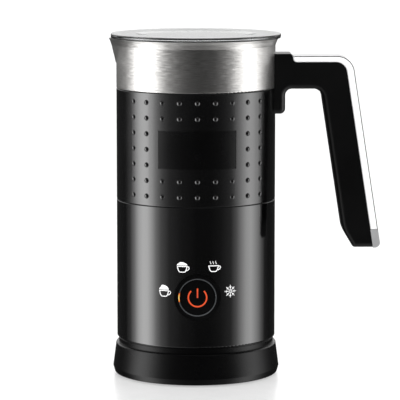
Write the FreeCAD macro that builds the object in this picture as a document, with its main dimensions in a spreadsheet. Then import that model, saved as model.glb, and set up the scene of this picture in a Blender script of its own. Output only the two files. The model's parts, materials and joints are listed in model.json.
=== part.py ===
import FreeCAD, Part
import math
import os
import Sketcher
from FreeCAD import Placement, Rotation, Vector

# A jug-type milk frother on a turning power base.  Millimetres, +Z up, Z = 0 on the table,
# the Z axis through the middle of the jug.  The controls face -Y, the handle points to +X
# and the pouring beak to -X.

SIZES = {
    # Jug outline, from the platform of the base up to the lid
    "body_radius": 47.5,
    "housing_bottom": 22.8,
    "housing_top": 105.7,
    "housing_wall": 2.5,
    "housing_chamfer": 0.7,
    "seam": 0.4,
    "sleeve_top": 172.2,
    "sleeve_thick": 1.25,
    "shell_thick": 1.6,
    "shell_low": 104.0,
    "shell_top": 172.0,
    "rebate_low": 103.8,
    "fit_gap": 0.05,
    "overcut": 2.0,
    # Base
    "foot_inner": 39.0,
    "foot_outer": 44.0,
    "foot_thick": 1.6,
    "base_bottom": 0.8,
    "base_plate_radius": 46.9,
    "base_plate_thick": 2.0,
    "base_edge_radius": 48.9,
    "base_wide_radius": 50.0,
    "base_wide_height": 4.5,
    "base_rim_radius": 48.1,
    "base_rim_height": 19.0,
    "base_wall": 2.0,
    "base_rounding": 0.8,
    "platform_radius": 46.5,
    "platform_height": 22.2,
    "platform_rounding": 0.4,
    "base_screw_ring": 33.0,
    "post_radius": 3.2,
    "gland_height": 9.5,
    "gland_bore": 3.6,
    "gland_radius": 5.0,
    "gland_inside": 43.0,
    "gland_outside": 51.5,
    "gland_flange_radius": 5.8,
    "gland_flange_thick": 2.5,
    # Turning connector between base and jug
    "tower_radius": 12.95,
    "tower_top": 32.0,
    "tower_flange_radius": 16.0,
    "tower_chamfer": 0.8,
    "slot_floor": 24.0,
    "slot_width": 1.7,
    "live_slot_radius": 8.9,
    "neutral_slot_radius": 5.4,
    "contact_thick": 0.5,
    "contact_gap": 0.4,
    "contact_height": 6.0,
    "well_radius": 4.5,
    "well_floor": 22.0,
    "earth_pin_radius": 2.0,
    "earth_pin_top": 29.0,
    "socket_bore": 13.4,
    "socket_radius": 17.5,
    "socket_low": 22.4,
    "socket_roof": 34.0,
    "socket_top": 38.0,
    "socket_flange_radius": 20.0,
    "socket_flange_low": 25.0,
    "socket_flange_thick": 1.5,
    "turning_gap": 0.3,
    # Floor of the jug
    "cover_flange_radius": 46.4,
    "cover_top": 24.7,
    "cover_spigot_radius": 44.9,
    "cover_screw_ring": 41.5,
    "boss_radius": 4.0,
    "boss_top": 44.0,
    "ledge_radius": 43.0,
    "ledge_top": 70.0,
    "ledge_thick": 1.5,
    # Screws
    "screw_head_radius": 2.8,
    "screw_head_height": 1.2,
    "screw_shank_radius": 1.3,
    "screw_length": 9.0,
    # Steel vessel
    "steel": 0.8,
    "vessel_floor": 84.0,
    "vessel_radius": 42.5,
    "vessel_corner": 10.0,
    "shoulder_bottom": 172.4,
    "shoulder_rounding": 1.2,
    "band_rounding": 0.7,
    "neck_height": 197.9,
    "flare_height": 200.6,
    "flare_radius": 48.5,
    "rim_radius": 49.3,
    "rim_top": 202.1,
    "beak_low": 187.4,
    "beak_step": 0.3,
    "beak_neck": 50.3,
    "beak_flare": 51.2,
    "beak_tip": 51.9,
    "beak_fold": 0.85,
    "spindle_radius": 1.5,
    "spindle_top": 100.0,
    "spindle_flange_radius": 5.0,
    # Heater
    "heater_inner": 22.0,
    "heater_outer": 38.0,
    "heater_thick": 4.0,
    "element_ring": 29.0,
    "element_radius": 3.2,
    "element_gap": 0.1,
    "element_sweep": 310.0,
    "fuse_radius": 1.5,
    "fuse_length": 8.0,
    "fuse_ring": 23.7,
    "sensor_radius": 2.2,
    "sensor_ring": 18.0,
    "sensor_low": 76.0,
    # Drive
    "chassis_radius": 44.6,
    "chassis_thick": 2.5,
    "chassis_hole": 3.0,
    "chassis_leg_ring": 35.1,
    "chassis_leg_radius": 2.5,
    "tail_hole_radius": 4.2,
    "motor_radius": 12.0,
    "motor_wall": 1.0,
    "motor_low": 50.0,
    "motor_screw_ring": 8.0,
    "end_cap_thick": 2.0,
    "field_low": 54.0,
    "field_top": 67.0,
    "field_inner": 9.2,
    "field_sweep": 130.0,
    "armature_radius": 8.6,
    "shaft_radius": 1.0,
    "shaft_clearance": 0.06,
    "shaft_low": 48.3,
    "shaft_top": 80.0,
    "bush_radius": 3.0,
    "bush_low": 69.0,
    "bush_top": 72.6,
    "carrier_radius": 14.0,
    "carrier_low": 77.0,
    "carrier_top": 82.5,
    "carrier_hub_radius": 4.0,
    "carrier_hub_low": 75.0,
    "drive_magnet_radius": 3.5,
    "drive_magnet_thick": 3.0,
    "drive_magnet_ring": 9.0,
    # Whisk
    "hub_low": 85.9,
    "hub_disc_radius": 10.9,
    "hub_disc_thick": 3.4,
    "hub_sleeve_radius": 3.5,
    "hub_clearance": 0.1,
    "hub_top": 102.0,
    "hub_cap_thick": 1.6,
    "coil_ring": 13.5,
    "coil_radius": 2.5,
    "coil_height": 88.5,
    "whisk_magnet_radius": 2.4,
    "whisk_magnet_thick": 2.0,
    "whisk_magnet_ring": 6.8,
    # Electronics
    "board_thick": 1.6,
    "board_radius": 43.0,
    "board_front": 30.0,
    "relay_x": 17.0,
    "relay_y": -9.0,
    "relay_length": 18.0,
    "relay_width": 16.0,
    "relay_height": 15.0,
    "supply_x": -34.0,
    "supply_y": -14.0,
    "supply_length": 16.0,
    "supply_width": 18.0,
    "supply_height": 12.0,
    "terminal_y": 24.0,
    "terminal_length": 18.0,
    "terminal_width": 9.0,
    "terminal_height": 10.0,
    "capacitor_x": 26.0,
    "capacitor_y": 14.0,
    "capacitor_radius": 5.0,
    "capacitor_height": 18.0,
    "control_front": 39.6,
    "control_half_width": 17.0,
    "control_low": 38.0,
    "control_top": 66.0,
    # Button
    "dial_height": 53.0,
    "window_radius": 13.7,
    "bezel_radius": 13.5,
    "bezel_inner": 11.2,
    "bezel_front": 47.7,
    "bezel_back": 40.4,
    "bezel_flange_radius": 16.0,
    "bezel_flange_front": 42.0,
    "bezel_rounding": 0.4,
    "ring_inner": 10.6,
    "ring_front": 47.6,
    "mode_sweep": 27.0,
    "cap_radius": 10.3,
    "cap_front": 47.5,
    "cap_thick": 2.5,
    "cap_skirt": 2.5,
    "cap_wall": 1.2,
    "plunger_radius": 1.4,
    "plunger_back": 42.3,
    "switch_half": 3.0,
    "switch_front": 43.0,
    "switch_hole_radius": 1.8,
    "switch_hole_floor": 41.5,
    "symbol_radius": 5.8,
    "symbol_stroke": 0.85,
    "symbol_gap": 88.0,
    "symbol_depth": 0.6,
    "symbol_bar_low": -0.2,
    "symbol_bar_top": 5.4,
    "led_size": 1.6,
    "led_thick": 0.7,
    # Grip sleeve
    "bump_radius": 1.7,
    "bump_centre": 46.8,
    "bump_middle": 139.2,
    "bump_rise": 55.0,
    "bump_sweep": 102.8,
    "plate_low": 128.5,
    "plate_top": 150.4,
    "plate_sweep": 56.6,
    "plate_thick": 0.6,
    "plate_outline": 0.25,
    "plate_sink": 0.05,
    "plate_corner": 1.0,
    # Handle
    "handle_width": 20.0,
    "bracket_top": 193.0,
    "bracket_reach": 56.9,
    "bracket_foot": 157.1,
    "leg_reach": 53.1,
    "arm_top": 187.9,
    "arm_bottom": 172.0,
    "arm_start": 57.6,
    "arm_corner": 2.3,
    "grip_bottom": 76.7,
    "grip_lean": 0.155,
    "grip_outer": 92.3,
    "grip_inner": 75.6,
    "grip_datum": 165.2,
    "grip_toe": 94.2,
    "grip_heel": 87.5,
    "outer_corner": 6.6,
    "inner_corner": 5.5,
    "leg_corner": 4.0,
    "bracket_rounding": 1.0,
    "foot_rounding": 3.0,
    "toe_rounding": 2.0,
    "heel_rounding": 18.0,
    "grip_rounding": 3.4,
    "trim_start": 57.9,
    "trim_lean": 0.5,
    "trim_foot": 2.2,
    "trim_thick": 3.8,
    "trim_side": 4.65,
    "trim_corner": 10.5,
    "trim_rounding": 1.2,
    "trim_end": 87.5,
    "cap_corner": 3.0,
    "hanger_width": 12.0,
    "hanger_low": 176.0,
    "hanger_top": 190.0,
    "hanger_reach": 49.3,
    "ear_reach": 56.0,
    "ear_low": 178.0,
    "ear_top": 186.0,
    "ear_thick": 2.5,
    "handle_screw_x": 53.0,
    "handle_screw_z": 182.0,
    "handle_screw_head": 3.5,
    "handle_screw_shank": 2.0,
    "handle_screw_end": 6.0,
    # Lid
    "lid_radius": 50.7,
    "lid_top": 204.8,
    "lid_under": 202.4,
    "lid_web": 1.5,
    "lid_dish_radius": 30.0,
    "lid_dish_slope": 6.0,
    "lid_dish_depth": 0.7,
    "lid_rounding": 0.5,
    "skirt_inner": 44.0,
    "skirt_outer": 45.4,
    "skirt_bottom": 196.0,
    "seal_radius": 46.4,
    "seal_low": 197.0,
    "seal_rib": 1.2,
    "seal_groove": 1.0,
}

# Compass angles in degrees from +X
SOUTH = 270
THREE_AROUND = (90, 210, 330)
FOUR_MAGNETS = (45, 135, 225, 315)
MODE_ANGLES = (2, 62, 118, 178)
TWO_SIDES = (0, 180)

LAID_BACK = Rotation(Vector(1, 0, 0), -90)

doc = FreeCAD.newDocument("MilkFrother")
parts = []


class Size:
    """A number that remembers the spreadsheet formula it comes from."""

    def __init__(self, value, formula):
        self.value = value
        self.formula = formula

    def __add__(self, other):
        other = as_size(other)
        return Size(self.value + other.value, "(%s + %s)" % (self.formula, other.formula))

    def __radd__(self, other):
        return as_size(other) + self

    def __sub__(self, other):
        other = as_size(other)
        return Size(self.value - other.value, "(%s - %s)" % (self.formula, other.formula))

    def __rsub__(self, other):
        return as_size(other) - self

    def __mul__(self, other):
        other = as_size(other)
        return Size(self.value * other.value, "(%s * %s)" % (self.formula, other.formula))

    def __rmul__(self, other):
        return as_size(other) * self

    def __truediv__(self, other):
        other = as_size(other)
        return Size(self.value / other.value, "(%s / %s)" % (self.formula, other.formula))

    def __neg__(self):
        return Size(-self.value, "(0 - %s)" % self.formula)


def as_size(number):
    return number if isinstance(number, Size) else Size(float(number), "%.6f" % number)


class Sheet:
    """The driving dimensions as a spreadsheet, one aliased cell each."""

    def __init__(self, sizes):
        page = doc.addObject("Spreadsheet::Sheet", "Sizes")
        for row, (alias, value) in enumerate(sizes.items(), start=1):
            page.set("A%d" % row, alias)
            page.set("B%d" % row, str(value))
            page.setAlias("B%d" % row, alias)
            setattr(self, alias, Size(value, "Sizes." + alias))


S = Sheet(SIZES)
doc.recompute()


# ---- Building helpers ----------------------------------------------------------------


def bind(thing, **sizes):
    for name, size in sizes.items():
        thing.setExpression(name, as_size(size).formula)
    return thing


def place(thing, x=0, y=0, z=0):
    for axis, size in (("x", x), ("y", y), ("z", z)):
        thing.setExpression("Placement.Base." + axis, as_size(size).formula)
    return thing


def part(label, thing):
    thing.Label = label
    parts.append(thing)
    return thing


def cylinder(radius, low, high, x=0, y=0):
    """An upright cylinder between two heights."""
    thing = bind(doc.addObject("Part::Cylinder", "Cylinder"), Radius=radius, Height=high - low)
    return place(thing, x, y, low)


def sector(radius, low, high, middle, sweep):
    """A slice of an upright cylinder about the axis; middle is its compass angle from +X."""
    thing = cylinder(radius, low, high)
    thing.Placement.Rotation = Rotation(Vector(0, 0, 1), middle - as_size(sweep).value / 2)
    bind(thing, Angle=sweep)
    thing.setExpression("Placement.Rotation.Angle", "(%g - %s / 2)" % (middle, as_size(sweep).formula))
    return thing


def laid(radius, front, back, x=0, z=0):
    """A cylinder along Y, from its front face at Y = -front to its back face at Y = -back."""
    thing = bind(doc.addObject("Part::Cylinder", "Cylinder"), Radius=radius, Height=front - back)
    thing.Placement.Rotation = LAID_BACK
    return place(thing, x, -front, z)


def laid_sector(radius, front, back, start, sweep, z):
    """A slice of a laid cylinder; start runs clockwise from three o'clock, seen from -Y."""
    thing = laid(radius, front, back, 0, z)
    thing.Placement.Rotation = LAID_BACK.multiply(Rotation(Vector(0, 0, 1), start))
    return bind(thing, Angle=sweep)


def block(x_low, x_high, y_low, y_high, z_low, z_high):
    thing = doc.addObject("Part::Box", "Box")
    bind(thing, Length=x_high - x_low, Width=y_high - y_low, Height=z_high - z_low)
    return place(thing, x_low, y_low, z_low)


def fuse(*things):
    thing = doc.addObject("Part::MultiFuse", "Fuse")
    thing.Shapes = list(things)
    return thing


def group(*things):
    """Separate identical solids that share one node."""
    thing = doc.addObject("Part::Compound", "Group")
    thing.Links = list(things)
    return thing


def cut(base, *tools):
    thing = doc.addObject("Part::Cut", "Cut")
    thing.Base = base
    thing.Tool = tools[0] if len(tools) == 1 else fuse(*tools)
    return thing


def tube(inner, outer, low, high, x=0, y=0):
    return cut(cylinder(outer, low, high, x, y), cylinder(inner, low - S.overcut, high + S.overcut, x, y))


def laid_tube(inner, outer, front, back, z):
    return cut(laid(outer, front, back, 0, z), laid(inner, front + S.overcut, back - S.overcut, 0, z))


def around(ring, angle):
    """X and Y of a point on a circle about the axis."""
    turn = math.radians(angle)
    return ring * round(math.cos(turn), 6), ring * round(math.sin(turn), 6)


def screw(x, y, head_low, head_radius, head_height, shank_radius, length):
    """An upright screw that goes in from below."""
    head_top = head_low + head_height
    head = cylinder(head_radius, head_low, head_top, x, y)
    return fuse(head, cylinder(shank_radius, head_top, head_top + length, x, y))


def plane_of(body, role):
    return [item for item in body.Origin.OriginFeatures if item.Role == role][0]


def pin_point(index, end, x, y):
    """Constraints that hold one sketch point at x, y, each with the size it follows."""
    held = []
    for kind, axis, size in (("DistanceX", -2, x), ("DistanceY", -1, y)):
        size = as_size(size)
        if size.value == 0:
            held.append((Sketcher.Constraint("PointOnObject", index, end, axis), None))
        elif size.value > 0:
            held.append((Sketcher.Constraint(kind, -1, 1, index, end, size.value), size))
        else:
            held.append((Sketcher.Constraint(kind, index, end, -1, 1, -size.value), -size))
    return held


def draw_outline(sketch, corners):
    """Closes an outline of straight sides, given its corners (x, y) or (x, y, radius)."""
    corners = [(as_size(c[0]), as_size(c[1]), as_size(c[2]) if len(c) > 2 else None) for c in corners]
    count = len(corners)
    spots = [Vector(c[0].value, c[1].value, 0) for c in corners]
    ends = []
    for i, (x, y, radius) in enumerate(corners):
        arriving = (spots[i] - spots[i - 1]).normalize()
        leaving = (spots[(i + 1) % count] - spots[i]).normalize()
        if radius is None:
            ends.append((spots[i], spots[i], 0, None))
            continue
        turn = math.atan2(arriving.cross(leaving).z, arriving.dot(leaving))
        reach = radius.value * math.tan(abs(turn) / 2)
        side = math.copysign(1, turn)
        first = spots[i] - arriving * reach
        last = spots[i] + leaving * reach
        centre = first + Vector(-arriving.y, arriving.x, 0) * (radius.value * side)
        ends.append((first, last, side, centre))
    for i in range(count):
        sketch.addGeometry(Part.LineSegment(ends[i][1], ends[(i + 1) % count][0]))
    held = []
    for i, (x, y, radius) in enumerate(corners):
        before = (i - 1) % count
        if radius is None:
            held.append((Sketcher.Constraint("Coincident", before, 2, i, 1), None))
            held += pin_point(i, 1, x, y)
            continue
        first, last, side, centre = ends[i]
        start, stop = (first, last) if side > 0 else (last, first)
        angles = [math.atan2((p - centre).y, (p - centre).x) for p in (start, stop)]
        circle = Part.Circle(centre, Vector(0, 0, 1), radius.value)
        arc = sketch.addGeometry(Part.ArcOfCircle(circle, angles[0], angles[1]))
        corner = sketch.addGeometry(Part.Point(spots[i]), True)
        near, far = (1, 2) if side > 0 else (2, 1)
        held.append((Sketcher.Constraint("Tangent", before, 2, arc, near), None))
        held.append((Sketcher.Constraint("Tangent", i, 1, arc, far), None))
        held.append((Sketcher.Constraint("Radius", arc, radius.value), radius))
        held.append((Sketcher.Constraint("PointOnObject", corner, 1, before), None))
        held.append((Sketcher.Constraint("PointOnObject", corner, 1, i), None))
        held += pin_point(corner, 1, x, y)
    for constraint, size in held:
        index = sketch.addConstraint(constraint)
        if size is not None:
            sketch.setExpression("Constraints[%d]" % index, size.formula)


def sketched_body(name, corners):
    """A PartDesign body with one sketch on its XZ plane."""
    body = doc.addObject("PartDesign::Body", name)
    sketch = body.newObject("Sketcher::SketchObject", "Outline")
    sketch.AttachmentSupport = [(plane_of(body, "XZ_Plane"), "")]
    sketch.MapMode = "FlatFace"
    draw_outline(sketch, corners)
    return body, sketch


def turned(name, corners):
    """A solid turned about the Z axis from its half section (radius, height)."""
    body, sketch = sketched_body(name, corners)
    turn = body.newObject("PartDesign::Revolution", "Turn")
    turn.Profile = sketch
    turn.ReferenceAxis = (sketch, ["V_Axis"])
    turn.Angle = 360
    return body


def slab(name, corners, width):
    """A solid of an XZ outline, centred on Y = 0."""
    body, sketch = sketched_body(name, corners)
    pad = body.newObject("PartDesign::Pad", "Slab")
    pad.Profile = sketch
    pad.SideType = "Symmetric"
    bind(pad, Length=width)
    return body


def round_edges(body, radius, wanted):
    """Fillets those edges of a body that the test picks."""
    doc.recompute()
    last = body.Tip
    names = ["Edge%d" % i for i, edge in enumerate(last.Shape.Edges, start=1) if wanted(edge)]
    if not names:
        raise RuntimeError("no edge to round on " + body.Label)
    fillet = body.newObject("PartDesign::Fillet", "Rounding")
    fillet.Base = (last, names)
    bind(fillet, Radius=radius)
    return fillet


# ---- Base ----------------------------------------------------------------------------


def base_shell():
    roof = S.platform_height - S.base_wall
    ring = turned("BaseSection", [
        (S.base_plate_radius + S.fit_gap, S.base_bottom),
        (S.base_edge_radius, S.base_bottom, S.base_rounding),
        (S.base_wide_radius, S.base_wide_height, S.base_rounding),
        (S.base_rim_radius, S.base_rim_height, S.base_rounding),
        (S.platform_radius, S.base_rim_height),
        (S.platform_radius, S.platform_height, S.platform_rounding),
        (S.tower_radius + S.fit_gap, S.platform_height),
        (S.tower_radius + S.fit_gap, roof),
        (S.platform_radius - S.base_wall, roof),
        (S.platform_radius - S.base_wall, S.base_rim_height - S.base_wall),
        (S.base_rim_radius - S.base_wall, S.base_rim_height - S.base_wall),
        (S.base_wide_radius - S.base_wall - S.fit_gap, S.base_wide_height + 1),
        (S.base_plate_radius + S.fit_gap, S.base_wide_height),
    ])
    plate_top = S.foot_thick + S.base_plate_thick
    spots = [around(S.base_screw_ring, angle) for angle in THREE_AROUND]
    posts = [cylinder(S.post_radius, plate_top, roof + 1, x, y) for x, y in spots]
    pilots = [cylinder(S.screw_shank_radius, plate_top - 1, roof - S.base_wall, x, y) for x, y in spots]
    opening = laid(S.gland_radius, -S.gland_inside, -S.gland_outside, 0, S.gland_height)
    part("base_shell", cut(fuse(ring, *posts), opening, *pilots))


def base_plate():
    top = S.foot_thick + S.base_plate_thick
    plate = cylinder(S.base_plate_radius, S.foot_thick, top)
    holes = []
    for angle in THREE_AROUND:
        x, y = around(S.base_screw_ring, angle)
        holes.append(cylinder(S.screw_head_radius, S.base_bottom, S.foot_thick + S.screw_head_height, x, y))
        holes.append(cylinder(S.screw_shank_radius, S.foot_thick, top + 1, x, y))
    part("base_plate", cut(plate, *holes))


def base_screws():
    spots = [around(S.base_screw_ring, angle) for angle in THREE_AROUND]
    head = (S.screw_head_radius, S.screw_head_height)
    part("base_screws", group(*[
        screw(x, y, S.foot_thick, *head, S.screw_shank_radius, S.screw_length)
        for x, y in spots
    ]))


def foot_ring():
    part("foot_ring", tube(S.foot_inner, S.foot_outer, as_size(0), S.foot_thick))


def cord_gland():
    flange_front = -S.gland_inside - S.gland_flange_thick
    sleeve = laid(S.gland_radius, -S.gland_inside, -S.gland_outside, 0, S.gland_height)
    flange = laid(S.gland_flange_radius, -S.gland_inside, flange_front, 0, S.gland_height)
    bore_front = S.overcut - S.gland_inside
    bore = laid(S.gland_bore, bore_front, -S.gland_outside - S.overcut, 0, S.gland_height)
    part("cord_gland", cut(fuse(sleeve, flange), bore))


def base_connector():
    flange_low = S.platform_height - 2 * S.base_wall
    part("base_connector", turned("Tower", [
        (S.earth_pin_radius, flange_low),
        (S.tower_flange_radius, flange_low),
        (S.tower_flange_radius, flange_low + S.base_wall),
        (S.tower_radius, flange_low + S.base_wall),
        (S.tower_radius, S.tower_top, S.tower_chamfer),
        (S.live_slot_radius + S.slot_width, S.tower_top),
        (S.live_slot_radius + S.slot_width, S.slot_floor),
        (S.live_slot_radius, S.slot_floor),
        (S.live_slot_radius, S.tower_top),
        (S.neutral_slot_radius + S.slot_width, S.tower_top),
        (S.neutral_slot_radius + S.slot_width, S.slot_floor),
        (S.neutral_slot_radius, S.slot_floor),
        (S.neutral_slot_radius, S.tower_top),
        (S.well_radius, S.tower_top),
        (S.well_radius, S.well_floor),
        (S.earth_pin_radius, S.well_floor),
    ]))
    top = S.slot_floor + S.contact_height
    part("base_contact_rings", group(*[
        tube(radius, radius + S.contact_thick, S.slot_floor, top)
        for radius in (S.live_slot_radius, S.neutral_slot_radius)
    ]))
    part("base_earth_pin", cylinder(S.earth_pin_radius, flange_low, S.earth_pin_top))


def connector_socket():
    part("connector_socket", turned("Socket", [
        (as_size(0), S.socket_roof),
        (S.socket_bore, S.socket_roof),
        (S.socket_bore, S.socket_low),
        (S.socket_radius, S.socket_low),
        (S.socket_radius, S.socket_flange_low),
        (S.socket_flange_radius, S.socket_flange_low),
        (S.socket_flange_radius, S.socket_flange_low + S.socket_flange_thick),
        (S.socket_radius, S.socket_flange_low + S.socket_flange_thick),
        (S.socket_radius, S.socket_top),
        (as_size(0), S.socket_top),
    ]))
    low = S.slot_floor + 1
    offset = S.contact_thick + S.contact_gap
    rings = [
        tube(radius + offset, radius + offset + S.contact_thick, low, S.socket_roof)
        for radius in (S.live_slot_radius, S.neutral_slot_radius)
    ]
    earth_inner = S.earth_pin_radius + S.contact_gap
    rings.append(tube(earth_inner, earth_inner + 2 * S.contact_thick, low, S.socket_roof))
    part("socket_contacts", group(*rings))


# ---- Outer shells of the jug ---------------------------------------------------------


def bottom_cover():
    disc = turned("CoverSection", [
        (S.socket_radius + S.turning_gap, S.platform_height),
        (S.cover_flange_radius, S.platform_height),
        (S.cover_flange_radius, S.housing_bottom),
        (S.cover_spigot_radius, S.housing_bottom),
        (S.cover_spigot_radius, S.cover_top),
        (S.socket_radius + S.turning_gap, S.cover_top),
    ])
    head_low = S.platform_height + S.turning_gap
    holes = []
    screws = []
    for angle in THREE_AROUND:
        x, y = around(S.cover_screw_ring, angle)
        holes.append(cylinder(S.screw_head_radius, S.foot_thick, head_low + S.screw_head_height, x, y))
        holes.append(cylinder(S.screw_shank_radius, S.foot_thick, S.cover_top + 1, x, y))
        screws.append(screw(
            x, y, head_low, S.screw_head_radius, S.screw_head_height, S.screw_shank_radius, S.screw_length
        ))
    part("bottom_cover", cut(disc, *holes))
    part("bottom_cover_screws", group(*screws))


def lower_housing():
    inner = S.body_radius - S.housing_wall
    rebate = S.body_radius - S.sleeve_thick
    wall = turned("HousingSection", [
        (inner, S.housing_bottom),
        (S.body_radius, S.housing_bottom, S.housing_chamfer),
        (S.body_radius, S.housing_top, S.fit_gap * 6),
        (rebate, S.housing_top),
        (rebate, S.rebate_low),
        (inner, S.rebate_low),
        (inner, S.ledge_top),
        (S.ledge_radius, S.ledge_top),
        (S.ledge_radius, S.ledge_top - S.ledge_thick),
        (inner, S.ledge_top - 2 * S.ledge_thick - 1),
    ])
    spots = [around(S.cover_screw_ring, angle) for angle in THREE_AROUND]
    bosses = [cylinder(S.boss_radius, S.cover_top, S.boss_top, x, y) for x, y in spots]
    pilot_top = S.boss_top - S.board_thick
    pilots = [cylinder(S.screw_shank_radius, S.cover_top - 1, pilot_top, x, y) for x, y in spots]
    window = laid(S.window_radius, S.body_radius + S.overcut, S.bezel_back - S.overcut, 0, S.dial_height)
    part("lower_housing", cut(fuse(wall, *bosses), window, *pilots))


def upper_shell():
    outer = S.body_radius - S.sleeve_thick - S.fit_gap
    part("upper_shell", tube(outer - S.shell_thick, outer, S.shell_low, S.shell_top))


def grip_sleeve():
    inner = S.body_radius - S.sleeve_thick
    low = S.housing_top + S.seam
    body = turned("SleeveSection", [
        (inner, low),
        (S.body_radius, low, S.fit_gap * 6),
        (S.body_radius, S.sleeve_top, S.fit_gap * 6),
        (inner, S.sleeve_top),
    ])
    ball = body.newObject("PartDesign::AdditiveSphere", "Bump")
    ball.AttachmentSupport = [(plane_of(body, "XY_Plane"), "")]
    ball.MapMode = "FlatFace"
    x, y = around(S.bump_centre, SOUTH - S.bump_sweep.value / 2)
    bind(ball, Radius=S.bump_radius)
    for axis, size in (("x", x), ("y", y), ("z", S.bump_middle - S.bump_rise / 2)):
        ball.setExpression("AttachmentOffset.Base." + axis, size.formula)
    pattern = body.newObject("PartDesign::MultiTransform", "BumpGrid")
    pattern.Originals = [ball]
    upright = plane_of(body, "Z_Axis")
    rows = body.newObject("PartDesign::LinearPattern", "BumpRows")
    rows.Direction = (upright, [""])
    rows.Occurrences = 7
    bind(rows, Length=S.bump_rise)
    columns = body.newObject("PartDesign::PolarPattern", "BumpColumns")
    columns.Axis = (upright, [""])
    columns.Occurrences = 9
    bind(columns, Angle=S.bump_sweep)
    back = body.newObject("PartDesign::Mirrored", "BackGrid")
    back.MirrorPlane = (plane_of(body, "XZ_Plane"), [""])
    pattern.Transformations = [rows, columns, back]
    body.Tip = pattern
    outline = 2 * math.degrees(S.plate_outline.value / S.body_radius.value)
    floor = S.body_radius - S.plate_thick
    window = [S.plate_low - S.plate_outline, S.plate_top + S.plate_outline, SOUTH, S.plate_sweep + outline]
    inside = cylinder(floor, S.plate_low - 1, S.plate_top + 1)
    recess = cut(sector(S.body_radius + S.overcut, *window), inside)
    bore = cylinder(inner, low - 1, S.sleeve_top + 1)
    part("grip_sleeve", cut(body, recess, bore))


def label_plate():
    floor = S.body_radius - S.plate_thick
    outer = S.body_radius - S.plate_sink
    plate = cut(
        sector(outer, S.plate_low, S.plate_top, SOUTH, S.plate_sweep),
        cylinder(floor, S.plate_low - 1, S.plate_top + 1),
    )
    doc.recompute()
    corners = doc.addObject("Part::Fillet", "PlateCorners")
    corners.Base = plate
    radius = S.plate_corner.value
    depth = S.plate_thick.value - S.plate_sink.value
    corners.Edges = [
        (i, radius, radius)
        for i, edge in enumerate(plate.Shape.Edges, start=1)
        if abs(edge.Length - depth) < S.fit_gap.value
    ]
    part("label_plate", corners)


# ---- Steel vessel --------------------------------------------------------------------


def lip_wire(radius, ridge, z):
    """A circle drawn out to a point at -X, with straight sides that meet it in a slight fold."""
    lean = math.acos(radius / ridge) * S.beak_fold.value
    front = Vector(-radius * math.cos(lean), -radius * math.sin(lean), z)
    back = Vector(front.x, -front.y, z)
    tip = Vector(-ridge, 0, z)
    arc = Part.Arc(front, Vector(radius, 0, z), back).toShape()
    return Part.Wire([arc, Part.makeLine(back, tip), Part.makeLine(tip, front)])


def lip(inset, extra_height):
    """The solid inside the band, flare and beak, drawn in by the wall on every side."""
    band = S.body_radius.value
    levels = [
        (band, S.beak_low.value, band + S.beak_step.value),
        (band, S.neck_height.value, S.beak_neck.value),
        (S.flare_radius.value, S.flare_height.value, S.beak_flare.value),
        (S.rim_radius.value, S.rim_top.value, S.beak_tip.value),
    ]
    wires = [lip_wire(radius - inset, ridge - inset, z) for radius, z, ridge in levels]
    if extra_height:
        top = S.rim_top.value + extra_height
        wires.append(lip_wire(S.rim_radius.value - inset, S.beak_tip.value - inset, top))
    thing = doc.addObject("Part::Feature", "Lip")
    thing.Shape = Part.makeLoft(wires, True, True)
    return thing


def vessel():
    t = S.steel
    band = S.body_radius
    pot = S.vessel_radius
    floor = S.vessel_floor
    step = S.shoulder_bottom
    wall = turned("VesselSection", [
        (as_size(0), floor),
        (pot, floor, S.vessel_corner),
        (pot, step, S.shoulder_rounding),
        (band, step, S.band_rounding),
        (band, S.beak_low),
        (band - t, S.beak_low),
        (band - t, step + t, S.fit_gap),
        (pot - t, step + t, S.shoulder_rounding + t),
        (pot - t, floor + t, S.vessel_corner - t),
        (as_size(0), floor + t),
    ])
    rim = cut(lip(0, 0), lip(S.steel.value, S.overcut.value))
    part("vessel", fuse(wall, rim))


def vessel_seal():
    inner = S.vessel_radius + S.shoulder_rounding + S.fit_gap
    part("vessel_seal", tube(inner, S.body_radius - S.shell_thick, S.shell_top, S.shoulder_bottom))


def spindle():
    floor = S.vessel_floor + S.steel
    flange = cylinder(S.spindle_flange_radius, floor, floor + S.steel)
    part("spindle", fuse(flange, cylinder(S.spindle_radius, floor, S.spindle_top)))


# ---- Heater --------------------------------------------------------------------------


def heater():
    plate_low = S.vessel_floor - S.heater_thick
    part("heater_plate", tube(S.heater_inner, S.heater_outer, plate_low, S.vessel_floor))
    centre = plate_low - S.element_gap - S.element_radius
    ring = bind(
        doc.addObject("Part::Torus", "Element"),
        Radius1=S.element_ring, Radius2=S.element_radius, Angle3=S.element_sweep,
    )
    place(ring, 0, 0, centre)
    tails = []
    for angle in (0, S.element_sweep.value):
        x, y = around(S.element_ring, angle)
        tails.append(cylinder(S.element_radius, S.ledge_top - S.overcut, centre, x, y))
    part("heater_element", fuse(ring, *tails))
    fuse_z = plate_low - S.element_gap - S.fuse_radius
    body = laid(S.fuse_radius, S.fuse_length / 2, -S.fuse_length / 2, -S.fuse_ring, fuse_z)
    part("thermal_fuse", body)
    x, y = around(S.sensor_ring, SOUTH)
    part("temperature_sensor", cylinder(S.sensor_radius, S.sensor_low, S.vessel_floor, x, y))


# ---- Drive ---------------------------------------------------------------------------


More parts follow.
